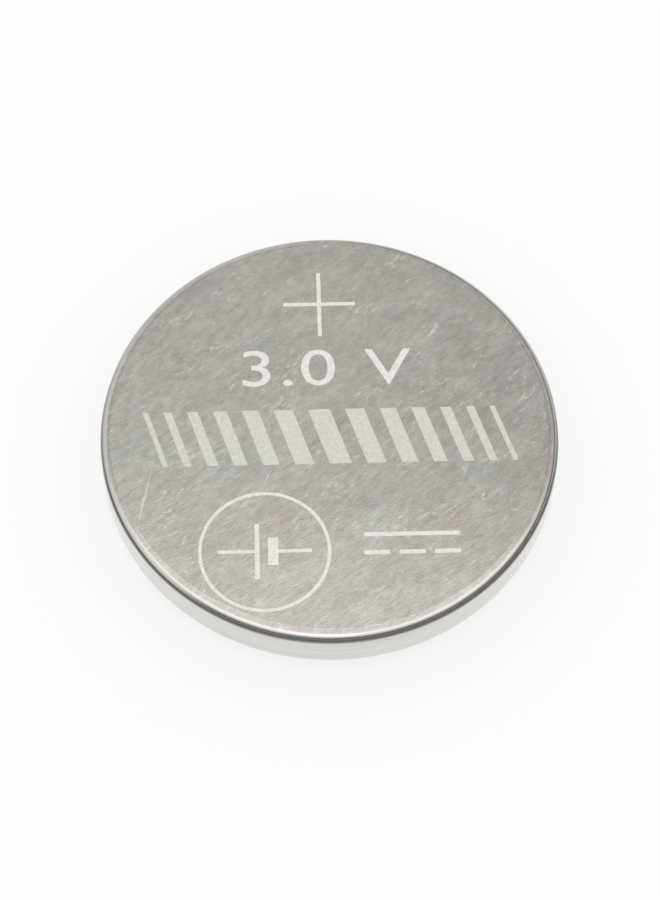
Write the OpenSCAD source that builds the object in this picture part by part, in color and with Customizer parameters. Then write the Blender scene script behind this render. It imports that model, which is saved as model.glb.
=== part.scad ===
// Lithium coin cell, 20 mm across and 3.2 mm high, with its positive can on top.
//
// The cell is a stack of round pieces on the Z axis. The origin is the middle of the
// negative face, which the cell rests on, and +Z points to the positive face.
// Each piece is one section, drawn with the radius along X and the height along Y,
// and turned once round Z. Every rounded edge is a true arc.

/* [Cell] */
// Diameter over the can's wall
cell_d = 20; // [16:0.1:24.5]
// Height from the negative face to the positive face
cell_h = 3.2; // [2.8:0.1:5]

/* [Positive can] */
// Thickness of the can's sheet
can_t = 0.25; // [0.2:0.01:0.3]
// Outer radius of the corner between the can's base and its wall
can_corner_r = 0.5; // [0.32:0.01:0.6]
// Outer radius of the mouth, where the wall is rolled in over the gasket
crimp_r = 0.95; // [0.7:0.05:1.1]
// How far the negative face stands below the rolled lip
cap_proud = 0.3; // [0.1:0.05:0.4]

/* [Negative cap] */
// Thickness of the cap's sheet
cap_t = 0.25; // [0.2:0.01:0.3]
// Outer radius of the corner round the negative face
cap_corner_r = 0.4; // [0.32:0.01:0.6]
// Height from the negative face up to the shoulder that the lip grips
shoulder_z = 0.9; // [0.8:0.05:1.1]
// Width of the shoulder, from the raised face's wall to the skirt's outside
shoulder_w = 0.7; // [0.65:0.05:0.9]
// Radius of the bend between that wall and the shoulder
step_r = 0.15; // [0.05:0.01:0.2]
// Outer radius of the corner between the shoulder and the skirt
skirt_corner_r = 0.35; // [0.32:0.01:0.45]

/* [Sealing gasket] */
// Thickness of the gasket between the can's wall and the cap's skirt
gasket_wall = 0.45; // [0.3:0.01:0.6]
// Thickness of the gasket at the skirt's end
gasket_floor = 0.35; // [0.2:0.01:0.5]
// Thickness of the gasket's inner wall, inside the skirt
gasket_inner_wall = 0.3; // [0.2:0.01:0.5]
// Length of the inner wall, from the skirt's end
gasket_inner_h = 0.45; // [0.2:0.05:0.7]
// Width of the gasket ring that shows between the lip and the cap
gasket_show_w = 0.35; // [0.2:0.01:0.45]
// How deep that ring lies behind the lip's outer face
gasket_recess = 0.1; // [0.02:0.01:0.15]

/* [Cathode] */
// Thickness of the cathode ring's sheet
ring_t = 0.2; // [0.1:0.01:0.25]
// Height of the cathode ring's wall, flange included
ring_h = 1.2; // [0.6:0.05:1.4]
// Width of the flange that the pellet sits on, from the ring's outside
ring_flange_w = 0.8; // [0.5:0.05:2]
// Inner radius of the ring's corner
ring_bend_r = 0.1; // [0.05:0.01:0.2]
// Radius of the pressed pellet's free edge
pellet_edge_r = 0.12; // [0.05:0.01:0.3]

/* [Anode and separator] */
// Thickness of the lithium disc
lithium_t = 0.6; // [0.3:0.05:0.8]
// Free width between the lithium disc and the round corner of the cap that it lies in
lithium_gap = 0.45; // [0.1:0.05:2]
// Thickness of the separator
separator_t = 0.15; // [0.05:0.01:0.3]
// Free width between the separator and the cap's wall
separator_gap = 0.05; // [0.02:0.01:0.3]
// How far the separator reaches past the cathode ring
separator_lap = 0.35; // [0.1:0.05:0.5]

/* [Hidden] */
$fn = 96;

// Radii, from the wall inwards
cell_r = cell_d / 2;
cavity_r = cell_r - can_t;
skirt_r = cavity_r - gasket_wall;
face_r = skirt_r - shoulder_w;
lip_r = face_r + gasket_show_w;
bore_r = skirt_r - cap_t - gasket_inner_wall;
separator_r = face_r - cap_t - separator_gap;
ring_r = separator_r - separator_lap;
pellet_r = ring_r - ring_t;
lithium_r = face_r - cap_corner_r - lithium_gap;

// Heights, from the negative face up
gasket_z = cap_proud + gasket_recess;
lithium_z = cap_t;
separator_z = lithium_z + lithium_t;
pellet_z = separator_z + separator_t;
cavity_top = cell_h - can_t;
skirt_top = cavity_top - gasket_floor;
inner_wall_z = skirt_top - gasket_inner_h;

// The stretch of a disc's half section that holds a rounded edge centred on height z
module rounded_edge(r, z, edge_r) {
  translate([0, z - edge_r])
    square([r - edge_r, 2 * edge_r]);
  translate([r - edge_r, z])
    circle(edge_r);
}

// The half section of a disc from z_low to z_high; an edge radius of 0 leaves it sharp
module round_block(r, z_low, z_high, low_r, high_r) {
  translate([0, z_low + low_r])
    square([r, z_high - z_low - low_r - high_r]);
  if (low_r > 0) rounded_edge(r, z_low + low_r, low_r);
  if (high_r > 0) rounded_edge(r, z_high - high_r, high_r);
}

// The can's outside, or its room inside when inset by the sheet
module can_block(inset) {
  round_block(cell_r - inset, cap_proud + inset, cell_h - inset, crimp_r - inset, can_corner_r - inset);
}

// All that the cap covers up to height top, or the room inside it when inset by the sheet
module cap_block(inset, top) {
  bend_r = step_r + inset;
  round_block(face_r - inset, inset, top, cap_corner_r - inset, 0);
  round_block(skirt_r - inset, shoulder_z + inset, top, skirt_corner_r - inset, 0);
  translate([face_r - inset, shoulder_z + inset - bend_r])
    difference() {
      square(bend_r);
      translate([bend_r, 0])
        circle(bend_r);
    }
}

// The drawn cup that is the case and the positive terminal, its mouth rolled in to a lip
module positive_can() {
  color([0.74, 0.73, 0.71])
    rotate_extrude()
      difference() {
        can_block(0);
        can_block(can_t);
        square([lip_r, shoulder_z]);
      }
}

// The stepped cup that closes the mouth and is the negative terminal
module negative_cap() {
  color([0.78, 0.77, 0.75])
    rotate_extrude()
      difference() {
        cap_block(0, skirt_top);
        cap_block(cap_t, cavity_top);
      }
}

// The moulded ring that seals and insulates: the skirt stands in its groove, and the lip
// presses its outer wall over the cap's shoulder
module sealing_gasket() {
  color([0.88, 0.88, 0.84])
    rotate_extrude() {
      difference() {
        union() {
          can_block(can_t);
          translate([0, gasket_z])
            square([lip_r, shoulder_z - gasket_z]);
        }
        cap_block(0, skirt_top);
        square([bore_r, cavity_top]);
      }
      translate([bore_r, inner_wall_z])
        square([gasket_inner_wall, skirt_top - inner_wall_z]);
    }
}

// The angle-section collar that stiffens the pellet and bears on the can's base
module cathode_ring() {
  ring_z = cavity_top - ring_h;
  color([0.7, 0.69, 0.68])
    rotate_extrude()
      difference() {
        round_block(ring_r, ring_z, cavity_top, 0, ring_bend_r + ring_t);
        round_block(ring_r - ring_t, 0, cavity_top - ring_t, 0, ring_bend_r);
        square([ring_r - ring_flange_w, cell_h]);
      }
}

// The pressed powder disc, stepped in where the collar's flange goes round it
module cathode_pellet() {
  step_z = cavity_top - ring_t;
  color([0.13, 0.13, 0.14])
    rotate_extrude() {
      round_block(pellet_r, pellet_z, step_z, pellet_edge_r, ring_bend_r);
      translate([0, step_z])
        square([ring_r - ring_flange_w, ring_t]);
    }
}

// The non-woven disc that keeps lithium and pellet apart, wider than both
module separator() {
  color([0.95, 0.95, 0.93])
    translate([0, 0, separator_z])
      cylinder(r = separator_r, h = separator_t);
}

// The lithium disc, pressed onto the inside of the cap
module lithium_anode() {
  color([0.66, 0.67, 0.69])
    translate([0, 0, lithium_z])
      cylinder(r = lithium_r, h = lithium_t);
}

positive_can();
negative_cap();
sealing_gasket();
cathode_ring();
cathode_pellet();
separator();
lithium_anode();
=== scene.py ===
# %% [markdown]
# # A lithium coin cell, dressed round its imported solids
#
# The cell is a flat steel can, rolled over a plastic gasket and a stepped steel cap.
# Everything that gives it its looks is the metal: a tumbled face with fine diagonal
# streaks, a bright rim, a drawn wall, and pale marks that a laser has etched.
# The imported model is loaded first. It fixes where each piece lies, and nothing below
# moves it. All sizes are written in millimetres, and a piece is made metres when it is
# finished.

# %% Load the fixed frame
import math
import random

import bmesh
import bpy
from mathutils import Matrix, Quaternion, Vector


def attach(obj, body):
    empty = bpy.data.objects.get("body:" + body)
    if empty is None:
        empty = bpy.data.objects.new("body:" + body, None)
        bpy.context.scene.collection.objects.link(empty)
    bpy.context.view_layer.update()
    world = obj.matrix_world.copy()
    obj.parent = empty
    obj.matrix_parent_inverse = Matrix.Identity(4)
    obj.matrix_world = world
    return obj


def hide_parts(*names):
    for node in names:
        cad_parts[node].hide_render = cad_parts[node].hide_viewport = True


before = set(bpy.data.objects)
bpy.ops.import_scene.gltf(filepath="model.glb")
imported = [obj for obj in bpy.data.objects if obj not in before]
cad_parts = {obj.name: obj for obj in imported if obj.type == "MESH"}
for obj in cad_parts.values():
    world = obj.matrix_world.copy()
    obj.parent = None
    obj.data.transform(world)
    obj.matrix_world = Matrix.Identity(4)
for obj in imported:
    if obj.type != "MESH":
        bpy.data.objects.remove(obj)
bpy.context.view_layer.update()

MM = 0.001
print("nodes:", ", ".join(sorted(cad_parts)))

# %% [markdown]
# ## The camera
#
# The photograph looks down on the cell at about 62 degrees, from a hand's width away.
# The angle, the distance and the lens were found by fitting a 20 mm disc, 3.2 mm high,
# to its outline and its rim. The distance is the least certain of them: 90 to 200 mm
# fit almost as well. The picture is turned by a little under one degree, so the camera
# is rolled by as much. The shift only puts the cell's middle where the photograph has
# it.

# %% Camera
ELEVATION = math.radians(61.65)
ROLL = math.radians(0.92)
DISTANCE = 115.0
LENS, SENSOR = 104.4, 36.0
SHIFT_X, SHIFT_Y = 0.0007, -0.0039
NEAREST, FARTHEST = 10.0, 20000.0
CELL_MIDDLE = Vector((0.0, 0.0, 1.6))

back = Vector((0.0, -math.cos(ELEVATION), math.sin(ELEVATION)))
camera = bpy.data.objects.new("camera", bpy.data.cameras.new("camera"))
camera.data.lens = LENS
camera.data.sensor_width = SENSOR
camera.data.shift_x = SHIFT_X
camera.data.shift_y = SHIFT_Y
camera.data.clip_start = NEAREST * MM
camera.data.clip_end = FARTHEST * MM
camera.location = (CELL_MIDDLE + DISTANCE * back) * MM
camera.rotation_mode = "QUATERNION"
camera.rotation_quaternion = (-back).to_track_quat("-Z", "Y") @ Quaternion((0, 0, 1), ROLL)
bpy.context.scene.collection.objects.link(camera)
bpy.context.scene.camera = camera
bpy.context.scene.view_settings.view_transform = "Standard"
print("camera at", [round(c / MM, 1) for c in camera.location], "mm")

# %% [markdown]
# ## Two helpers for materials
#
# Colours are picked as the hex values of a screen, and a shader wants linear numbers,
# so one function turns the one into the other. A second one adds a node, sets its
# values and links its inputs, which keeps each material a short list of its steps.
# Some inputs have the same name or none, so they can be given by number: a Mix node
# has its factor at 0, its two colours at 6 and 7 and the mixed one at output 2, and
# for plain numbers these are 2, 3 and output 0. A Map Range node turns its input 0
# from the range in 1 and 2 into the range in 3 and 4, which is 0 to 1 if not given.

# %% Colour and node helpers
def linear(hex_colour):
    """Turns an sRGB hex colour into the linear colour that a shader wants."""
    parts = [int(hex_colour[i:i + 2], 16) / 255 for i in (1, 3, 5)]
    return [c / 12.92 if c <= 0.04045 else ((c + 0.055) / 1.055) ** 2.4 for c in parts] + [1.0]


def add(tree, kind, settings=None, **inputs):
    """Adds a node; an input is a number, a colour, or another node's output."""
    node = tree.nodes.new(kind)
    for name, value in (settings or {}).items():
        setattr(node, name, value)
    for name, value in inputs.items():
        key = int(name[1:]) if name[0] == "_" else name.replace("_", " ")
        socket = node.inputs[key]
        if isinstance(value, bpy.types.NodeSocket):
            tree.links.new(value, socket)
        else:
            socket.default_value = value
    return node


COLOURS = {"data_type": "RGBA"}
NUMBERS = {"data_type": "FLOAT"}
TIMES = {"data_type": "RGBA", "blend_type": "MULTIPLY"}
SMOOTH = {"interpolation_type": "SMOOTHSTEP"}
WHITE, BLACK = linear("#FFFFFF"), linear("#000000")
print("mid grey is", [round(c, 3) for c in linear("#808080")[:3]])

# %% [markdown]
# ## The light
#
# The photograph is a studio picture on plain white. What makes metal look like metal
# is what it mirrors, so the room matters more than the lamp. An even sky gives nearly
# all of the light, and the camera sees plain white.
# Only mirrored rays see a room. Its brightness goes by height, with one ramp of greys
# on the camera's side, dark low down and bright overhead, and three on the far side:
# left, middle and right. Their levels were tuned towards the brightness that the metal
# has in the photograph, so they are not a record of a real room.

# %% Greys of the mirrored room
# Rows of (height of the direction, from 0 at the horizon to 1 overhead, and grey level)
SIDE_GREYS = {
    "camera_side": [
        (0.0, 0.10), (0.11, 0.09), (0.19, 0.18), (0.27, 0.36), (0.38, 0.60), (0.54, 1.00),
        (0.66, 1.30), (0.78, 1.28), (0.90, 1.15), (1.0, 1.06)],
    "far_left": [
        (0.0, 0.50), (0.10, 0.58), (0.27, 0.88), (0.44, 0.82), (0.60, 0.64), (0.72, 0.52),
        (0.80, 0.56), (0.845, 0.70), (0.865, 0.56), (0.885, 0.68), (0.90, 0.92),
        (0.92, 1.28), (0.95, 1.30), (1.0, 1.08)],
    "far_right": [
        (0.0, 0.18), (0.15, 0.22), (0.30, 0.40), (0.45, 0.64), (0.58, 0.70), (0.72, 0.52),
        (0.80, 0.50), (0.845, 0.58), (0.865, 0.37), (0.885, 0.42), (0.90, 0.66),
        (0.92, 1.18), (0.95, 1.26), (1.0, 1.08)],
    "far_middle": [
        (0.0, 0.40), (0.30, 0.60), (0.50, 0.72), (0.72, 0.56), (0.80, 0.60), (0.845, 0.90),
        (0.865, 0.58), (0.885, 0.60), (0.90, 0.82), (0.92, 1.28), (0.95, 1.30),
        (1.0, 1.08)]}


def set_stops(ramp, stops):
    """Gives a ramp its rows of (place, grey level)."""
    ramp.color_ramp.interpolation = "EASE"
    marks = ramp.color_ramp.elements
    while len(marks) < len(stops):
        marks.new(0.5)
    for mark, (place, level) in zip(marks, stops):
        mark.position = place
        mark.color = (level, level, level, 1.0)


world = bpy.data.worlds.new("studio")
world.use_nodes = True
bpy.context.scene.world = world
tree = world.node_tree
tree.nodes.clear()
direction = add(tree, "ShaderNodeTexCoord").outputs["Generated"]
axes = add(tree, "ShaderNodeSeparateXYZ", _0=direction)
sides = {}
for side, stops in SIDE_GREYS.items():
    ramp = add(tree, "ShaderNodeValToRGB", _0=axes.outputs["Z"])
    set_stops(ramp, stops)
    sides[side] = ramp.outputs["Color"]
print("sides of the room:", ", ".join(sides))

# %% [markdown]
# The sides blend into each other by the direction's X and Y, over the widths given
# here. Two things are laid over them: low down on the camera's side the greys have a
# faint warm tint, as beside wood, and a soft white window stands low at the left.

# %% Put the room together
MIDDLE_HALF = 0.075
SIDES_MEET = 0.20
FAR_FROM, FAR_TO = -0.10, 0.45
WOOD_UP_TO = 0.20
TO_WINDOW = (-0.976, -0.17, 0.137)
WINDOW_EDGE, WINDOW_CORE, WINDOW_COVER = 0.80, 0.99, 0.75

to_the_right = add(tree, "ShaderNodeMapRange", SMOOTH,
                   _0=axes.outputs["X"], _1=-SIDES_MEET, _2=SIDES_MEET)
far_sides = add(tree, "ShaderNodeMix", COLOURS, _0=to_the_right.outputs[0],
                _6=sides["far_left"], _7=sides["far_right"])
off_middle = add(tree, "ShaderNodeMath", {"operation": "ABSOLUTE"}, _0=axes.outputs["X"])
off_middle = add(tree, "ShaderNodeMapRange", SMOOTH,
                 _0=off_middle.outputs[0], _1=0.0, _2=MIDDLE_HALF)
far_side = add(tree, "ShaderNodeMix", COLOURS, _0=off_middle.outputs[0],
               _6=sides["far_middle"], _7=far_sides.outputs[2])
behind = add(tree, "ShaderNodeMapRange", SMOOTH,
             _0=axes.outputs["Y"], _1=FAR_FROM, _2=FAR_TO)
low_down = add(tree, "ShaderNodeMapRange", SMOOTH,
               _0=axes.outputs["Z"], _1=0.0, _2=WOOD_UP_TO)
wood = add(tree, "ShaderNodeMix", COLOURS,
           _0=low_down.outputs[0], _6=linear("#FFEAE0"), _7=WHITE)
camera_side = add(tree, "ShaderNodeMix", TIMES,
                  _0=1.0, _6=sides["camera_side"], _7=wood.outputs[2])
walls = add(tree, "ShaderNodeMix", COLOURS,
            _0=behind.outputs[0], _6=camera_side.outputs[2], _7=far_side.outputs[2])
towards_window = add(tree, "ShaderNodeVectorMath", {"operation": "DOT_PRODUCT"},
                     _0=direction, _1=TO_WINDOW).outputs["Value"]
window = add(tree, "ShaderNodeMapRange", SMOOTH, _0=towards_window,
             _1=WINDOW_EDGE, _2=WINDOW_CORE, _3=0.0, _4=WINDOW_COVER)
room = add(tree, "ShaderNodeMix", COLOURS,
           _0=window.outputs[0], _6=walls.outputs[2], _7=WHITE)
print("the window covers", WINDOW_COVER, "of what lies behind it")

# %% [markdown]
# A Light Path node tells which rays are which: a diffuse ray gets the even sky, a
# mirrored one the room, and the camera plain white. The lamp is a sun with a wide
# disc. It is weak, stands on the camera's side, about 40 degrees up, and only deepens
# the shadow behind the cell a little.

# %% Sky and lamp
SKY_LEVEL = 0.97
LAMP_TILT = math.radians(48.0)
LAMP_WIDTH = math.radians(22.0)
LAMP_ENERGY = 0.04


def light_path(tree):
    """The light path of a ray, and 1 where the ray was mirrored or let through."""
    path = add(tree, "ShaderNodeLightPath")
    mirrored = add(tree, "ShaderNodeMath", {"operation": "MAXIMUM"},
                   _0=path.outputs["Is Glossy Ray"], _1=path.outputs["Is Transmission Ray"])
    return path, mirrored.outputs[0]


path, mirrored = light_path(tree)
even_sky = add(tree, "ShaderNodeBackground", Color=WHITE, Strength=SKY_LEVEL)
studio = add(tree, "ShaderNodeBackground", Color=room.outputs[2], Strength=1.0)
white = add(tree, "ShaderNodeBackground", Color=WHITE, Strength=1.0)
lit = add(tree, "ShaderNodeMixShader", _0=mirrored,
          _1=even_sky.outputs[0], _2=studio.outputs[0])
seen = add(tree, "ShaderNodeMixShader", _0=path.outputs["Is Camera Ray"],
           _1=lit.outputs[0], _2=white.outputs[0])
add(tree, "ShaderNodeOutputWorld", Surface=seen.outputs[0])

lamp = bpy.data.objects.new("overhead_lamp", bpy.data.lights.new("overhead_lamp", "SUN"))
lamp.data.angle = LAMP_WIDTH
lamp.data.energy = LAMP_ENERGY
# A sun shines the same from anywhere, so its place only keeps it clear of the cell
lamp.location = (0.0, -0.2, 0.3)
lamp.rotation_euler = (LAMP_TILT, 0.0, 0.0)
bpy.context.scene.collection.objects.link(lamp)
print("the lamp is tilted by", round(math.degrees(LAMP_TILT)), "degrees")

# %% [markdown]
# ## The floor
#
# The floor is a sweep of white paper. For the camera and in the metal, seven tenths of
# what it shows is its own light, so the shadow on it stays soft and pale.
# Mirrored rays see it in greys, painted shade that gives the wall and the rim their
# dark parts: it is white close round the cell, painted darker beyond, most of all on
# the camera's side, and lighter again where it lies open.

# %% Floor
FLOOR_HALF = 3000.0
FLOOR_DROP = 0.02
plane = bmesh.new()
bmesh.ops.create_grid(plane, x_segments=1, y_segments=1, size=FLOOR_HALF)
bmesh.ops.translate(plane, vec=(0, 0, -FLOOR_DROP), verts=plane.verts)
bmesh.ops.scale(plane, vec=(MM, MM, MM), verts=plane.verts)
floor = bpy.data.objects.new("floor", bpy.data.meshes.new("floor"))
plane.to_mesh(floor.data)
plane.free()
bpy.context.scene.collection.objects.link(floor)
print("the floor lies", FLOOR_DROP, "mm under the cell")

# %% Paper of the floor
OWN_LIGHT = 0.7
CELL_ACROSS = 20.0
# The white close round the cell, by distance from the axis in cell diameters
WHITE_STOPS = [(0.565, 1.0), (0.585, 0.52), (0.64, 0.27), (0.72, 0.12), (0.85, 0.0)]
# Shaded and open floor turn paler from the camera's side to the far side: where that
# starts and ends, in mm from the axis, and the grey levels at the two ends
SHADED_REACH, SHADED_GREYS = (-3.0, 12.0), (0.15, 0.66)
OPEN_REACH, OPEN_GREYS = (-25.0, 10.0), (0.50, 0.88)
# Between these distances from the axis, in mm, the shaded floor turns into the open one
OPEN_FROM, OPEN_TO = 30.0, 62.0

paper = bpy.data.materials.new("white sweep paper")
paper.use_nodes = True
tree = paper.node_tree
tree.nodes.clear()
path, mirrored = light_path(tree)
shown = add(tree, "ShaderNodeMath", {"operation": "MAXIMUM"},
            _0=path.outputs["Is Camera Ray"], _1=mirrored)
own_light = add(tree, "ShaderNodeMath", {"operation": "MULTIPLY"},
                _0=shown.outputs[0], _1=OWN_LIGHT)
place = add(tree, "ShaderNodeTexCoord").outputs["Object"]
depth = add(tree, "ShaderNodeSeparateXYZ", _0=place).outputs["Y"]
distance = add(tree, "ShaderNodeVectorMath", {"operation": "LENGTH"}, _0=place).outputs["Value"]
reach = add(tree, "ShaderNodeMath", {"operation": "DIVIDE"}, _0=distance, _1=CELL_ACROSS * MM)
sheet = add(tree, "ShaderNodeValToRGB", _0=reach.outputs[0])
set_stops(sheet, WHITE_STOPS)
greys = []
for (start, end), (low, high) in [(SHADED_REACH, SHADED_GREYS), (OPEN_REACH, OPEN_GREYS)]:
    greys.append(add(tree, "ShaderNodeMapRange", SMOOTH, _0=depth,
                     _1=start * MM, _2=end * MM, _3=low, _4=high).outputs[0])
open_floor = add(tree, "ShaderNodeMapRange", SMOOTH,
                 _0=distance, _1=OPEN_FROM * MM, _2=OPEN_TO * MM)
beyond = add(tree, "ShaderNodeMix", NUMBERS, _0=open_floor.outputs[0], _2=greys[0], _3=greys[1])
level = add(tree, "ShaderNodeMix", NUMBERS,
            _0=sheet.outputs["Color"], _2=beyond.outputs[0], _3=1.0)
grey = add(tree, "ShaderNodeMix", COLOURS, _0=level.outputs[0], _6=BLACK, _7=WHITE)
# Mirrored rays get the painted shade of the floor, the camera plain white paper
colour = add(tree, "ShaderNodeMix", COLOURS, _0=mirrored, _6=WHITE, _7=grey.outputs[2])
matte = add(tree, "ShaderNodeBsdfDiffuse", Color=colour.outputs[2])
glow = add(tree, "ShaderNodeEmission", Color=colour.outputs[2], Strength=1.0)
mixed = add(tree, "ShaderNodeMixShader", _0=own_light.outputs[0],
            _1=matte.outputs[0], _2=glow.outputs[0])
add(tree, "ShaderNodeOutputMaterial", Surface=mixed.outputs[0])
floor.data.materials.append(paper)
print("the floor shows", OWN_LIGHT, "of its own light")

# %% [markdown]
# ## Turning a section
#
# A drawn can, a drawn cap and a moulded ring are all round about one axis, so each is
# made as a wood turner would: a section is drawn once and turned through 360 degrees.
# The section starts from its bare corners. A vertex bevel with a profile of 0.5 cuts
# each corner into a true arc, and spin turns the line into a closed skin. Corners on
# the axis fall together when the doubles are merged, which closes the middle.

# %% Helpers that turn a section
SPIN_STEPS = 240
MERGE_WITHIN = 0.001


def turned(section, closed):
    """Turns rows of (radius, height, corner radius, arc segments) about Z, in mm."""
    shape = bmesh.new()
    corners = [shape.verts.new((row[0], 0.0, row[1])) for row in section]
    for first, second in zip(corners, corners[1:]):
        shape.edges.new((first, second))
    if closed:
        shape.edges.new((corners[-1], corners[0]))
    for corner, (_, _, rounding, segments) in zip(corners, section):
        if rounding:
            bmesh.ops.bevel(shape, geom=[corner], offset=rounding, offset_type="OFFSET",
                            segments=segments, profile=0.5, affect="VERTICES", material=-1)
    bmesh.ops.spin(shape, geom=shape.verts[:] + shape.edges[:], cent=(0, 0, 0), axis=(0, 0, 1),
                   angle=math.tau, steps=SPIN_STEPS, use_merge=True)
    bmesh.ops.remove_doubles(shape, verts=shape.verts, dist=MERGE_WITHIN)
    bmesh.ops.recalc_face_normals(shape, faces=shape.faces)
    return shape


def piece_from(shape, name, materials):
    """Makes a bmesh in mm an object in metres, with its place in its mesh."""
    bmesh.ops.scale(shape, vec=(MM, MM, MM), verts=shape.verts)
    piece = bpy.data.objects.new(name, bpy.data.meshes.new(name))
    shape.to_mesh(piece.data)
    shape.free()
    for material in materials:
        piece.data.materials.append(material)
    bpy.context.scene.collection.objects.link(piece)
    return piece


def count(label, shape):
    """Prints how many faces a bmesh has, and whether its skin is closed."""
    print(label, "faces:", len(shape.faces), "open edges:",
          sum(not edge.is_manifold for edge in shape.edges))


print("a turned section has", SPIN_STEPS, "steps")

# %% [markdown]
# ## The metal of the can
#
# The can is drawn from steel strip plated with nickel. After pressing, thousands of
# cells are tumbled and handled together, which leaves a satin face: short fine streaks
# that mostly run one way, soft clouds, and small pale scuffs. Nickel is a slightly
# warm grey. The streaks are stretched noise, laid at 33 degrees to the X axis. A noise
# is stretched by a Mapping node of the Texture kind, whose scale is the real size of
# one streak. The real ones are finer than a pixel, so they are drawn 0.08 mm wide.
# Most finishes here are one recipe: a noise shades the colour between two tones, one
# varies the roughness, and one gives the relief, its depth in millimetres.

# %% Helpers for a finish
NOISE_LOW, NOISE_HIGH = 0.3, 0.7


def stretched_noise(tree, place, size_mm, turn_deg=0.0, detail=2.0, offset=0.0):
    """Noise whose cells are size_mm long, wide and high, turned about Z."""
    laid = add(tree, "ShaderNodeMapping", {"vector_type": "TEXTURE"}, Vector=place,
               Location=(offset * MM, offset * MM, 0.0),
               Rotation=(0.0, 0.0, math.radians(turn_deg)),
               Scale=[size * MM for size in size_mm])
    return add(tree, "ShaderNodeTexNoise", Vector=laid.outputs[0], Scale=1.0,
               Detail=detail, Roughness=0.55).outputs["Fac"]


def new_material(name):
    """A material with its Principled shader, and the place in Object coordinates."""
    material = bpy.data.materials.new(name)
    material.use_nodes = True
    tree = material.node_tree
    place = add(tree, "ShaderNodeTexCoord").outputs["Object"]
    return material, tree, tree.nodes["Principled BSDF"], place


def lay_on(tree, shader, shade, rough, relief=None, metallic=0.0,
           shade_range=(NOISE_LOW, NOISE_HIGH)):
    """Lays noises on a shader.

    shade is (noise, darkest, palest), rough is (noise, smoothest, roughest) and relief
    is (noise, depth in mm).
    """
    noise, darkest, palest = shade
    shading = add(tree, "ShaderNodeMapRange", _0=noise, _1=shade_range[0], _2=shade_range[1])
    tone = add(tree, "ShaderNodeMix", COLOURS,
               _0=shading.outputs[0], _6=linear(darkest), _7=linear(palest))
    tree.links.new(tone.outputs[2], shader.inputs["Base Color"])
    noise, smoothest, roughest = rough
    roughness = add(tree, "ShaderNodeMapRange", _0=noise, _1=NOISE_LOW, _2=NOISE_HIGH,
                    _3=smoothest, _4=roughest)
    tree.links.new(roughness.outputs[0], shader.inputs["Roughness"])
    shader.inputs["Metallic"].default_value = metallic
    if relief:
        noise, deep = relief
        bump = add(tree, "ShaderNodeBump", Strength=1.0, Distance=deep * MM, Height=noise)
        tree.links.new(bump.outputs[0], shader.inputs["Normal"])


print("a noise counts from", NOISE_LOW, "to", NOISE_HIGH)

# %% [markdown]
# The tumbled face needs more than that recipe, because several patterns lie over each
# other. Clouds choose the tone, large faint tints make it a little pinker or greener,
# and blots, fine streaks and specks each darken it. Where the scuffs are, and only in
# patches, it is paler and rougher.

# %% Patterns of the tumbled face
STREAK_TURN = 33.0
STREAK_WIDTH = 0.08
face_steel, tree, metal, place = new_material("tumbled nickel-plated steel")
pattern = {}
for name, size_mm, turn, detail, offset in [
        ("fine", (0.45, STREAK_WIDTH, 1.0), STREAK_TURN, 2.0, 0.0),
        ("coarse", (0.90, 0.22, 1.0), STREAK_TURN + 8.0, 3.0, 7.0),
        ("grain", (0.07, 0.07, 1.0), 0.0, 2.0, 3.0),
        ("specks", (0.16, 0.11, 1.0), STREAK_TURN, 1.0, 27.0),
        ("clouds", (2.2, 1.3, 1.0), STREAK_TURN, 4.0, 11.0),
        ("blots", (0.55, 0.32, 1.0), STREAK_TURN + 20.0, 3.0, 15.0),
        ("tints", (3.2, 3.2, 1.0), 0.0, 2.0, 19.0),
        ("scuffs", (0.42, 0.17, 1.0), STREAK_TURN + 12.0, 2.0, 23.0),
        ("patches", (2.0, 1.3, 1.0), STREAK_TURN, 2.0, 31.0)]:
    pattern[name] = stretched_noise(tree, place, size_mm, turn, detail, offset)

# How much of a pattern counts: its range, and what that becomes
amount = {}
for name, start, end, low, high in [
        ("clouds", NOISE_LOW, NOISE_HIGH, 0.0, 1.0), ("blots", NOISE_LOW, NOISE_HIGH, 0.0, 1.0),
        ("tints", 0.35, 0.65, 0.0, 1.0), ("fine", NOISE_LOW, NOISE_HIGH, 0.0, 1.0),
        ("specks", NOISE_LOW, NOISE_HIGH, 0.0, 1.0), ("scuffs", 0.54, 0.74, 0.0, 0.65),
        ("patches", 0.50, 0.64, 0.0, 1.0), ("coarse", NOISE_LOW, NOISE_HIGH, 0.15, 0.24)]:
    amount[name] = add(tree, "ShaderNodeMapRange", _0=pattern[name],
                       _1=start, _2=end, _3=low, _4=high).outputs[0]
print(face_steel.name, "with streaks", STREAK_WIDTH, "mm wide")

# %% Colour, roughness and relief of the tumbled face
SCUFF_ROUGHNESS = 0.5
FINE_RELIEF, GRAIN_RELIEF = 0.5, 0.6
RELIEF_DEPTH = 0.0035

tone = add(tree, "ShaderNodeMix", COLOURS,
           _0=amount["clouds"], _6=linear("#D6D3CF"), _7=linear("#E5E2DE")).outputs[2]
tint = add(tree, "ShaderNodeMix", COLOURS,
           _0=amount["tints"], _6=linear("#FFFBFA"), _7=linear("#FCFFFD")).outputs[2]
tone = add(tree, "ShaderNodeMix", TIMES, _0=1.0, _6=tone, _7=tint).outputs[2]
for name, darkened in [("blots", "#EBEAE9"), ("fine", "#F3F2F0"), ("specks", "#F3F2F1")]:
    tone = add(tree, "ShaderNodeMix", TIMES,
               _0=amount[name], _6=tone, _7=linear(darkened)).outputs[2]
scuffed = add(tree, "ShaderNodeMath", {"operation": "MULTIPLY"},
              _0=amount["scuffs"], _1=amount["patches"]).outputs[0]
tone = add(tree, "ShaderNodeMix", COLOURS, _0=scuffed, _6=tone, _7=linear("#F2F0EC")).outputs[2]
tree.links.new(tone, metal.inputs["Base Color"])
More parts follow.
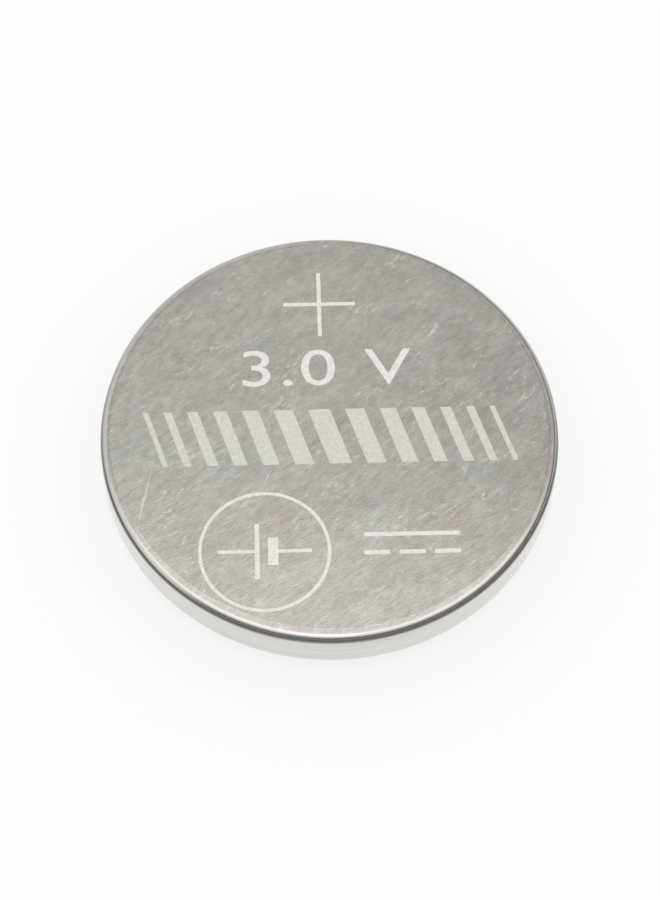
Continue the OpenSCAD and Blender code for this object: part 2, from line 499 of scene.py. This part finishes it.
rougher = add(tree, "ShaderNodeMix", NUMBERS,
              _0=scuffed, _2=amount["coarse"], _3=SCUFF_ROUGHNESS)
tree.links.new(rougher.outputs[0], metal.inputs["Roughness"])
metal.inputs["Metallic"].default_value = 1.0
relief = pattern["coarse"]
for name, share in [("fine", FINE_RELIEF), ("grain", GRAIN_RELIEF)]:
    relief = add(tree, "ShaderNodeMath", {"operation": "MULTIPLY_ADD"},
                 _0=pattern[name], _1=share, _2=relief).outputs[0]
bump = add(tree, "ShaderNodeBump", Strength=1.0, Distance=RELIEF_DEPTH * MM, Height=relief)
tree.links.new(bump.outputs[0], metal.inputs["Normal"])
print("relief of the face:", RELIEF_DEPTH, "mm deep")

# %% [markdown]
# The wall and the rim are the same plated steel, but the die has drawn them along the
# axis and the crimping rollers have run round them. That leaves fine lines round the
# cell. Noise that is very thin in height and long across draws such lines, and it has
# no seam, because it needs no angle.

# %% Drawn steel of the wall
wall_steel, tree, metal, place = new_material("drawn nickel-plated steel")
lines = stretched_noise(tree, place, (5.0, 5.0, 0.035), detail=2.0)
bands = stretched_noise(tree, place, (9.0, 9.0, 0.30), detail=1.0, offset=5.0)
rubbed = stretched_noise(tree, place, (2.5, 2.5, 0.12), detail=3.0, offset=13.0)
lay_on(tree, metal, (bands, "#D6D4D0", "#E0DEDA"), (rubbed, 0.11, 0.19), (lines, 0.0006),
       metallic=1.0)
print(wall_steel.name)

# %% [markdown]
# A laser writes the marks. It melts the plating in lines a few hundredths of a
# millimetre apart and leaves a frosted, almost white skin, which scatters light and
# mirrors next to nothing. So the etched steel is mostly not metallic to the eye.
# A fresh scratch is bare bright metal with a rough bottom.

# %% Etched steel and scratches
MARKS_TURN_DEG = 2.4


def etched(name, darkest, palest):
    """Laser-frosted steel: fine spots, and relief along the laser's lines."""
    material, tree, metal, place = new_material(name)
    hatch = stretched_noise(tree, place, (1.2, 0.05, 1.0), MARKS_TURN_DEG, 1.0)
    spots = stretched_noise(tree, place, (0.16, 0.16, 1.0), offset=9.0)
    lay_on(tree, metal, (spots, darkest, palest), (hatch, 0.50, 0.62), (hatch, 0.003),
           metallic=0.25)
    return material


etched_steel = etched("laser-etched steel", "#E4E2DD", "#F6F4F0")
hatched_steel = etched("laser-hatched steel", "#D2D0C9", "#E2E0DA")

scratch_steel, tree, metal, place = new_material("scratched steel")
torn = stretched_noise(tree, place, (0.10, 0.10, 1.0))
lay_on(tree, metal, (torn, "#D9D6CF", "#F0EEE9"), (torn, 0.35, 0.55), metallic=0.7)
print(etched_steel.name, ",", hatched_steel.name, "and", scratch_steel.name)

# %% [markdown]
# ## The positive can
#
# The can is a cup that is drawn in steps from 0.25 mm sheet and set upside down over
# the cell. Its base is the big face. The corner of the base is tight, 0.5 mm, and at
# the mouth the wall is rolled in on a wide arc of 0.95 mm, down to a lip.
# The tumbled finish goes on over the rim, to where it slopes by 27 degrees.
# The face is then made one single polygon, so that marks can be cut cleanly into it.

# %% Turn the can
CELL_R, TOP, SHEET = 10.0, 3.2, 0.25
CORNER_R, MOUTH_R = 0.50, 0.95
LIP_R, LIP_Z, LIP_EDGE_R = 8.95, 0.3, 0.05
ROOM_R, ROOM_TOP = CELL_R - SHEET, TOP - SHEET
TUMBLED_TO = math.cos(math.radians(27.0))
LEVEL_WITHIN = 0.0005

can_shape = turned([
    (0.0, TOP, 0, 0), (CELL_R, TOP, CORNER_R, 16), (CELL_R, LIP_Z, MOUTH_R, 18),
    (LIP_R, LIP_Z, LIP_EDGE_R, 3), (LIP_R, LIP_Z + SHEET, LIP_EDGE_R, 3),
    (ROOM_R, LIP_Z + SHEET, MOUTH_R - SHEET, 14), (ROOM_R, ROOM_TOP, CORNER_R - SHEET, 8),
    (0.0, ROOM_TOP, 0, 0)], closed=False)
flat = [face for face in can_shape.faces
        if all(abs(corner.co.z - TOP) < LEVEL_WITHIN for corner in face.verts)]
bmesh.ops.dissolve_faces(can_shape, faces=flat, use_verts=False)
for face in can_shape.faces:
    face.material_index = 0 if face.normal.z > TUMBLED_TO else 1
count("can", can_shape)
can = piece_from(can_shape, "positive_can_drawn_cup", [face_steel, wall_steel])

# %% [markdown]
# ## The marks
#
# A coin cell says which face is positive and how many volts it gives. The marks here
# are plain ones that any such cell may carry: a plus, the rating of 3.0 volts, a row
# of slanted bars, the circuit symbol of a cell in a ring, and the sign for direct
# current. Each is a shallow solid, and all of them are cut into the face together.
# They are cut rather than painted so that they are there in the mesh as well.

# %% Strokes of the marks
ETCH_DEPTH = 0.008
CUT_ABOVE = 0.03
CUBE_FACES = 6
MARKS_LEVEL = TOP + (CUT_ABOVE - ETCH_DEPTH) / 2


def stroke(marks, x, y, width, height, lean=0.0):
    """A straight etched bar, leaning to the right by lean millimetres at its top."""
    place = Matrix.Translation((x, y, MARKS_LEVEL))
    shear = Matrix.Identity(4)
    shear[0][1] = lean / height
    size = Matrix.Diagonal((width, height, ETCH_DEPTH + CUT_ABOVE, 1.0))
    bmesh.ops.create_cube(marks, size=1.0, matrix=place @ shear @ size)


marks = bmesh.new()

# The plus: its two strokes cross
PLUS_X, PLUS_Y = -0.30, 6.37
stroke(marks, PLUS_X, PLUS_Y, 3.20, 0.18)
stroke(marks, PLUS_X, PLUS_Y, 0.18, 3.30)

# The band of slanted bars, widest in the middle; its bars are hatched, not frosted
BAND_Y, BAND_WIDTH, BAND_HEIGHT, BAND_LEAN = -0.35, 15.4, 2.7, -0.9
widths = [0.24, 0.36, 0.48, 0.60, 0.72, 0.84, 0.96, 0.84, 0.72, 0.60, 0.48, 0.36, 0.24]
gap = (BAND_WIDTH - sum(widths)) / (len(widths) - 1)
x = -BAND_WIDTH / 2
for width in widths:
    stroke(marks, x + width / 2, BAND_Y, width, BAND_HEIGHT, BAND_LEAN)
    x += width + gap
for face in marks.faces[-CUBE_FACES * len(widths):]:
    face.material_index = 1

# The circuit symbol of a cell: a long and a short plate, each with its lead
RING_X, RING_Y = -2.92, -5.85
for off, width, height in [(-0.32, 0.20, 2.60), (0.36, 0.44, 1.30),
                           (-1.20, 1.60, 0.16), (1.29, 1.44, 0.16)]:
    stroke(marks, RING_X + off, RING_Y, width, height)

# The sign for direct current: a bar over three dashes
SIGN_X, BAR_Y, DASHES_Y, SIGN_STROKE = 3.36, -5.15, -6.00, 0.20
stroke(marks, SIGN_X, BAR_Y, 4.10, SIGN_STROKE)
for off in (-1.5, 0.0, 1.5):
    stroke(marks, SIGN_X + off, DASHES_Y, 1.10, SIGN_STROKE)
print("strokes:", len(marks.faces) // CUBE_FACES)

# %% [markdown]
# The ring round the symbol is turned like the pieces are. The rating is set in the
# font that comes with Blender and made a mesh. It is then scaled to a height of 1.8 mm
# and made 1.3 times as wide, which fills its place on the face.

# %% The ring and the rating
RING_INNER_R, RING_OUTER_R = 2.68, 2.83
RATING_X, RATING_Y = -0.15, 2.22
RATING_HEIGHT, RATING_STRETCH = 1.80, 1.30
CUT_LOW, CUT_HIGH = TOP - ETCH_DEPTH, TOP + CUT_ABOVE


def evaluated_mesh(thing):
    """The mesh that an object comes to with its modifiers."""
    depsgraph = bpy.context.evaluated_depsgraph_get()
    return bpy.data.meshes.new_from_object(thing.evaluated_get(depsgraph))


ring = turned([(RING_INNER_R, CUT_LOW, 0, 0), (RING_OUTER_R, CUT_LOW, 0, 0),
               (RING_OUTER_R, CUT_HIGH, 0, 0), (RING_INNER_R, CUT_HIGH, 0, 0)], closed=True)
bmesh.ops.translate(ring, vec=(RING_X, RING_Y, 0.0), verts=ring.verts)
holder = bpy.data.meshes.new("ring")
ring.to_mesh(holder)
ring.free()
marks.from_mesh(holder)
bpy.data.meshes.remove(holder)

rating = bpy.data.curves.new("rating", "FONT")
rating.body = "3.0 V"
rating.size = 2.8
rating.space_character = 1.08
rating.align_x = "CENTER"
rating.extrude = (ETCH_DEPTH + CUT_ABOVE) / 2
rating.resolution_u = 8
text = bpy.data.objects.new("rating", rating)
bpy.context.scene.collection.objects.link(text)
bpy.context.view_layer.update()
letters = evaluated_mesh(text)
bpy.data.objects.remove(text)
tall = max(corner.co.y for corner in letters.vertices)
fit = RATING_HEIGHT / tall
letters.transform(Matrix.Translation((RATING_X, RATING_Y, MARKS_LEVEL))
                  @ Matrix.Diagonal((fit * RATING_STRETCH, fit, 1.0, 1.0)))
marks.from_mesh(letters)
bpy.data.meshes.remove(letters)
print("the text was", round(tall, 3), "mm tall before it was fitted")

# %% Close and turn the marks
TOUCHING = 0.0001
bmesh.ops.remove_doubles(marks, verts=marks.verts, dist=TOUCHING)
bmesh.ops.recalc_face_normals(marks, faces=marks.faces)
turn = Matrix.Rotation(math.radians(MARKS_TURN_DEG), 3, "Z")
bmesh.ops.rotate(marks, cent=(0, 0, 0), matrix=turn, verts=marks.verts)
count("marks", marks)

# %% [markdown]
# A Boolean cuts the marks. Its exact solver copes with strokes that cross each other,
# and with the material handed over, the floor of each cut is etched steel without any
# further work.

# %% Cut the marks
def carve(piece, tool, name, materials):
    """Cuts a bmesh in mm out of a piece, and leaves the cuts in the tool's materials."""
    cutter = piece_from(tool, name, materials)
    cut = piece.modifiers.new(name, "BOOLEAN")
    cut.operation = "DIFFERENCE"
    cut.solver = "EXACT"
    cut.use_self = True
    cut.material_mode = "TRANSFER"
    cut.object = cutter
    done = evaluated_mesh(piece)
    piece.modifiers.clear()
    old = piece.data
    piece.data = done
    bpy.data.meshes.remove(old)
    bpy.data.objects.remove(cutter)


carve(can, marks, "laser_marks", [etched_steel, hatched_steel])
print("after the marks:", len(can.data.polygons), "faces,",
      [slot.name for slot in can.data.materials])

# %% [markdown]
# ## Scratches
#
# A loose cell meets other cells and coins. The photograph shows one long scratch at
# the left, a few short nicks, and many tiny pale ones that mostly follow the streaks
# and crowd together in a few places near the edge. Each is a long thin lozenge, half
# as deep as the marks. The tiny ones are drawn from a seeded generator, so the cell is
# the same each time.

# %% Helper that cuts a scratch
SCRATCH_DEPTH = 0.004
SCRATCH_LEVEL = TOP + (CUT_ABOVE - SCRATCH_DEPTH) / 2
scratches = bmesh.new()


def scratch(x0, y0, x1, y1, width):
    """A lozenge from one point of the face to another."""
    place = Matrix.Translation(((x0 + x1) / 2, (y0 + y1) / 2, SCRATCH_LEVEL))
    heading = Matrix.Rotation(math.atan2(y1 - y0, x1 - x0), 4, "Z")
    size = Matrix.Diagonal((math.hypot(x1 - x0, y1 - y0) / 2, width / 2,
                            SCRATCH_DEPTH + CUT_ABOVE, 1.0))
    bmesh.ops.create_cone(scratches, cap_ends=True, segments=4, radius1=1.0, radius2=1.0,
                          depth=1.0, matrix=place @ heading @ size)


print("a scratch is", SCRATCH_DEPTH, "mm deep")

# %% Place and cut the scratches
FACE_EDGE = CELL_R - CORNER_R
SCATTER_R, SCATTERED, HEADING_SPREAD = 9.3, 70, 14.0
CROWD_HEADING, CROWD_SPREAD = 28.0, 18.0
draw = random.Random(20)

# Ends and width of the ones that can be told apart in the photograph
PLACED = [(-7.64, -2.01, -8.17, -5.15, 0.07), (-2.47, -1.95, -2.86, -2.99, 0.05),
          (-6.10, -6.92, -5.84, -7.08, 0.09), (-5.26, -7.98, -5.10, -7.76, 0.09),
          (0.90, -2.80, 1.10, -2.66, 0.08), (6.55, -3.30, 6.71, -2.92, 0.09),
          (-7.08, -3.18, -6.96, -3.34, 0.08)]
for row in PLACED:
    scratch(*row)

# Tiny ones all over the face, cut short where they would reach the rim
for _ in range(SCATTERED):
    radius, angle = SCATTER_R * math.sqrt(draw.random()), draw.uniform(0.0, math.tau)
    length = 0.15 + 0.75 * draw.random() ** 2
    heading = math.radians(draw.gauss(STREAK_TURN, HEADING_SPREAD))
    x, y = radius * math.cos(angle), radius * math.sin(angle)
    reach = min(length / 2, FACE_EDGE - radius)
    scratch(x - reach * math.cos(heading), y - reach * math.sin(heading),
            x + reach * math.cos(heading), y + reach * math.sin(heading),
            draw.uniform(0.025, 0.05))

# Crowded places: middle, spread and number, with any that would reach the rim left out
for x0, y0, spread, number in [
        (-7.1, -5.2, 0.40, 9), (-6.0, -6.6, 0.30, 5), (-4.9, -7.8, 0.25, 4),
        (1.2, -8.7, 0.70, 5), (7.2, -3.6, 0.40, 4)]:
    for _ in range(number):
        x, y = draw.gauss(x0, spread), draw.gauss(y0, spread)
        length = draw.uniform(0.15, 0.5)
        heading = math.radians(draw.gauss(CROWD_HEADING, CROWD_SPREAD))
        along = Vector((math.cos(heading), math.sin(heading))) * length / 2
        if math.hypot(x, y) + length / 2 < FACE_EDGE:
            scratch(x - along.x, y - along.y, x + along.x, y + along.y,
                    draw.uniform(0.035, 0.06))
carve(can, scratches, "scratches", [scratch_steel])
print("after the scratches:", len(can.data.polygons), "faces")

# %% [markdown]
# Edges sharper than 30 degrees stay crisp, the rest is shaded smooth. A Weighted Normal
# modifier then lets the big flat faces win over the narrow strips of the arcs, which
# keeps the face a true mirror plane right up to the rim.

# %% Shade the turned pieces
CRISP_FROM = math.radians(30.0)


def shade_turned(piece):
    """Smooth arcs, crisp edges, and flats that stay flat."""
    piece.data.polygons.foreach_set("use_smooth", [True] * len(piece.data.polygons))
    piece.data.set_sharp_from_angle(angle=CRISP_FROM)
    weighted = piece.modifiers.new("weighted_normals", "WEIGHTED_NORMAL")
    weighted.mode = "FACE_AREA"
    weighted.keep_sharp = True


shade_turned(can)
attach(can, "root")
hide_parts("positive_can")
print("the can replaces its node")

# %% [markdown]
# ## The negative cap
#
# The cap is a stepped cup. Its flat stands a little below the can's lip and is the
# negative face. The shoulder above it is what the lip grips, and the skirt stands in
# the gasket's groove. It is pressed from stainless sheet, and its flat is left matt by
# the press, with faint rings from the tool. The rings are noise by distance from the
# axis, so they have no seam.

# %% Steel of the cap
cap_steel, tree, metal, place = new_material("pressed stainless steel")
flat_place = add(tree, "ShaderNodeVectorMath", {"operation": "MULTIPLY"},
                 _0=place, _1=(1.0, 1.0, 0.0)).outputs[0]
radius = add(tree, "ShaderNodeVectorMath", {"operation": "LENGTH"}, _0=flat_place)
height = add(tree, "ShaderNodeSeparateXYZ", _0=place).outputs["Z"]
ring_place = add(tree, "ShaderNodeCombineXYZ", _0=radius.outputs["Value"], _2=height).outputs[0]
rings = stretched_noise(tree, ring_place, (0.07, 1.0, 0.07))
grit = stretched_noise(tree, place, (0.09, 0.09, 0.09), offset=4.0)
relief = add(tree, "ShaderNodeMath", {"operation": "ADD"}, _0=rings, _1=grit).outputs[0]
lay_on(tree, metal, (rings, "#CFCDC8", "#DBD9D5"), (grit, 0.28, 0.40), (relief, 0.0015),
       metallic=1.0)
print(cap_steel.name)

# %% Turn the cap
CAP_R, CAP_CORNER_R, STEP_R = 8.6, 0.40, 0.15
SHOULDER_Z, SKIRT_R, SKIRT_TOP, SKIRT_CORNER_R = 0.9, 9.3, 2.6, 0.35
cap_shape = turned([
    (0.0, 0.0, 0, 0), (CAP_R, 0.0, CAP_CORNER_R, 10), (CAP_R, SHOULDER_Z, STEP_R, 5),
    (SKIRT_R, SHOULDER_Z, SKIRT_CORNER_R, 9), (SKIRT_R, SKIRT_TOP, 0, 0),
    (SKIRT_R - SHEET, SKIRT_TOP, 0, 0),
    (SKIRT_R - SHEET, SHOULDER_Z + SHEET, SKIRT_CORNER_R - SHEET, 4),
    (CAP_R - SHEET, SHOULDER_Z + SHEET, STEP_R + SHEET, 9),
    (CAP_R - SHEET, SHEET, CAP_CORNER_R - SHEET, 5), (0.0, SHEET, 0, 0)], closed=False)
count("cap", cap_shape)
cap = piece_from(cap_shape, "negative_cap_stepped_cup", [cap_steel])
shade_turned(cap)
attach(cap, "root")
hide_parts("negative_cap")

# %% [markdown]
# ## The gasket
#
# The gasket is moulded from natural polypropylene, a milky plastic that lets a little
# light in. One ring of it shows underneath, between the lip and the cap. Its section
# follows the room that the two cups leave. Its bore is straight, so a groove 0.15 mm
# wide stays open beside the cap's wall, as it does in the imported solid.

# %% Plastic of the gasket
plastic, tree, shader, place = new_material("moulded natural polypropylene")
flow = stretched_noise(tree, place, (1.4, 1.4, 0.5), detail=3.0)
skin = stretched_noise(tree, place, (0.05, 0.05, 0.05), offset=2.0)
lay_on(tree, shader, (flow, "#DAD9D0", "#E8E7DF"), (skin, 0.36, 0.48), (skin, 0.001))
shader.inputs["IOR"].default_value = 1.49
shader.inputs["Subsurface Weight"].default_value = 0.3
shader.inputs["Subsurface Scale"].default_value = 0.3 * MM
print(plastic.name)

# %% Turn the gasket
BORE_R, GASKET_Z, GASKET_EDGE_R, INNER_WALL_Z = 8.75, 0.40, 0.03, 2.15
gasket_shape = turned([
    (BORE_R, GASKET_Z, 0, 0), (LIP_R, GASKET_Z, GASKET_EDGE_R, 2), (LIP_R, LIP_Z + SHEET, 0, 0),
    (ROOM_R, LIP_Z + SHEET, MOUTH_R - SHEET, 14), (ROOM_R, ROOM_TOP, CORNER_R - SHEET, 8),
    (BORE_R, ROOM_TOP, 0, 0), (BORE_R, INNER_WALL_Z, 0, 0),
    (SKIRT_R - SHEET, INNER_WALL_Z, 0, 0), (SKIRT_R - SHEET, SKIRT_TOP, 0, 0),
    (SKIRT_R, SKIRT_TOP, 0, 0),
    (SKIRT_R, SHOULDER_Z, SKIRT_CORNER_R, 9), (BORE_R, SHOULDER_Z, 0, 0)], closed=True)
count("gasket", gasket_shape)
gasket = piece_from(gasket_shape, "sealing_gasket_moulded_ring", [plastic])
shade_turned(gasket)
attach(gasket, "root")
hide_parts("sealing_gasket")

# %% [markdown]
# ## The pieces inside
#
# Nothing of these shows on a closed cell, but they are there, and a cut cell would
# show them. Their shapes are right as packed, so each node only gets its finish.

# %% Finishes of the inner pieces
collar_steel, tree, metal, place = new_material("stamped steel of the cathode ring")
lines = stretched_noise(tree, place, (3.0, 3.0, 0.03))
lay_on(tree, metal, (lines, "#BDBBB8", "#CCCAC7"), (lines, 0.30, 0.42), metallic=1.0)

powder, tree, shader, place = new_material("pressed manganese dioxide")
grains = stretched_noise(tree, place, (0.06, 0.06, 0.06), detail=3.0)
lay_on(tree, shader, (grains, "#1D1D1F", "#37363A"), (grains, 0.72, 0.92), (grains, 0.012))

felt, tree, shader, place = new_material("non-woven polypropylene felt")
fibres = stretched_noise(tree, place, (0.40, 0.03, 0.05), 20.0)
crossing = stretched_noise(tree, place, (0.40, 0.03, 0.05), -55.0, offset=6.0)
web = add(tree, "ShaderNodeMath", {"operation": "MAXIMUM"}, _0=fibres, _1=crossing).outputs[0]
lay_on(tree, shader, (web, "#DCDCD6", "#F6F6F2"), (web, 0.80, 0.95), (web, 0.010),
       shade_range=(0.4, 0.7))

soft_metal, tree, metal, place = new_material("rolled lithium")
rolled = stretched_noise(tree, place, (1.6, 0.05, 0.05))
dulled = stretched_noise(tree, place, (1.2, 1.2, 1.2), detail=3.0, offset=8.0)
lay_on(tree, metal, (dulled, "#9FA0A4", "#C4C5C8"), (rolled, 0.34, 0.50), (rolled, 0.002),
       metallic=1.0)

for name, finish in {"cathode_ring": collar_steel, "cathode_pellet": powder,
                     "separator": felt, "lithium_anode": soft_metal}.items():
    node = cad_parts[name]
    node.data.materials.clear()
    node.data.materials.append(finish)
print("inner pieces have their finishes")
